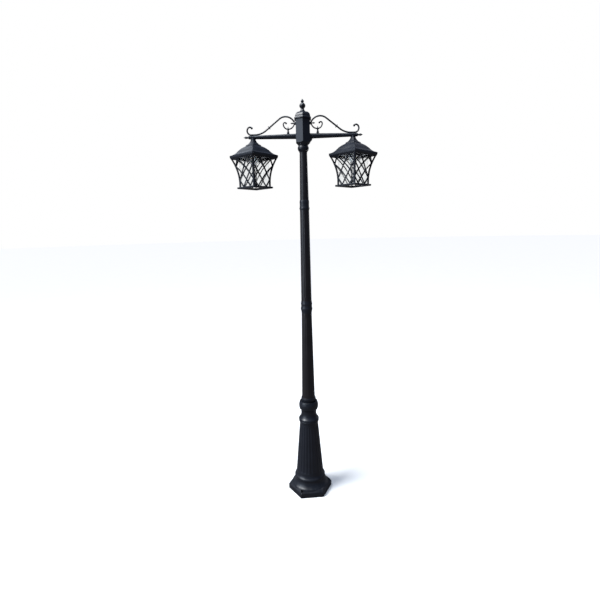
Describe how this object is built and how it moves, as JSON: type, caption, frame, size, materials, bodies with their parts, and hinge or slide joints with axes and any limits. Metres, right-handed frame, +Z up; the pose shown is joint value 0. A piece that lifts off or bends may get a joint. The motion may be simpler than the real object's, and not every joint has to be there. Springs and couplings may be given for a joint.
{
  "type": "street lamp post",
  "caption": "Black garden street lamp post with a fluted base and pole, scrolled arms and hanging lattice lanterns that turn on their nipples.",
  "frame": {"origin": "on the ground under the post's axis, at the middle of the foot", "axes": "+Z up the pole, the arms along X, the front towards -Y"},
  "size_m": [0.7765, 0.255, 2.2],
  "materials": {
    "black_cast": "satin black powder coat on die-cast aluminium",
    "black_tube": "satin black powder coat on aluminium tube",
    "tube_inner": "mill finish",
    "gasket": "matte black foam rubber",
    "terminal_plastic": "moulded off-white nylon",
    "lampholder_plastic": "moulded black thermoset",
    "pane_glass": "clear seeded glass",
    "bulb_opal": "opal white",
    "bulb_shell": "rolled thread, nickel plated",
    "plated_steel": "zinc plated",
    "spring_steel": "bright spring steel",
    "screw_steel": "blackened stainless steel"
  },
  "bodies": {
    "root": {"base_casting": "black_cast", "base_set_screws": "screw_steel", "terminal_block": "terminal_plastic", "terminal_screws": "screw_steel", "cup_collar": "black_cast", "pole_foot_ring": "black_cast", "pole_lower": "black_tube", "pole_middle": "black_tube", "pole_upper": "black_tube", "lower_coupler": "tube_inner", "upper_coupler": "tube_inner", "lower_joint_collar": "black_cast", "upper_joint_collar": "black_cast", "lower_joint_screws": "screw_steel", "upper_joint_screws": "screw_steel"},
    "head": {"hub_body": "black_cast", "head_set_screws": "screw_steel", "cap_gasket": "gasket", "hub_cap": "black_cast", "cap_screws": "screw_steel", "finial": "black_cast", "finial_stud": "plated_steel", "arm_nuts": "plated_steel", "arm_tips": "black_cast", "scroll_buds": "black_cast", "scroll_clasps": "black_cast", "nipple_nuts": "plated_steel", "left_arm": "black_cast", "left_c_scroll": "black_cast", "left_s_scroll": "black_cast", "left_scroll_baluster": "black_cast", "left_nipple": "plated_steel", "left_lampholder": "lampholder_plastic", "left_bulb_cap": "bulb_shell", "left_bulb_glass": "bulb_opal", "right_arm": "black_cast", "right_c_scroll": "black_cast", "right_s_scroll": "black_cast", "right_scroll_baluster": "black_cast", "right_nipple": "plated_steel", "right_lampholder": "lampholder_plastic", "right_bulb_cap": "bulb_shell", "right_bulb_glass": "bulb_opal"},
    "left_lantern": {"left_roof": "black_cast", "left_cage_frame": "black_cast", "left_lattice_panels": "black_cast", "left_glass_panes": "pane_glass", "left_bottom_ring": "black_cast", "left_pane_clips": "spring_steel", "left_clip_screws": "screw_steel", "left_ring_screws": "screw_steel"},
    "right_lantern": {"right_roof": "black_cast", "right_cage_frame": "black_cast", "right_lattice_panels": "black_cast", "right_glass_panes": "pane_glass", "right_bottom_ring": "black_cast", "right_pane_clips": "spring_steel", "right_clip_screws": "screw_steel", "right_ring_screws": "screw_steel"}
  },
  "joints": [
    {"name": "head_swivel", "type": "hinge", "parent": "root", "child": "head", "pos_m": [0, 0, 1.96], "axis": [0, 0, 1], "range_deg": [-90, 90]},
    {"name": "left_lantern_swivel", "type": "hinge", "parent": "head", "child": "left_lantern", "pos_m": [-0.2608, 0, 2], "axis": [0, 0, 1], "continuous": true},
    {"name": "right_lantern_swivel", "type": "hinge", "parent": "head", "child": "right_lantern", "pos_m": [0.2608, 0, 2], "axis": [0, 0, 1], "continuous": true}
  ]
}
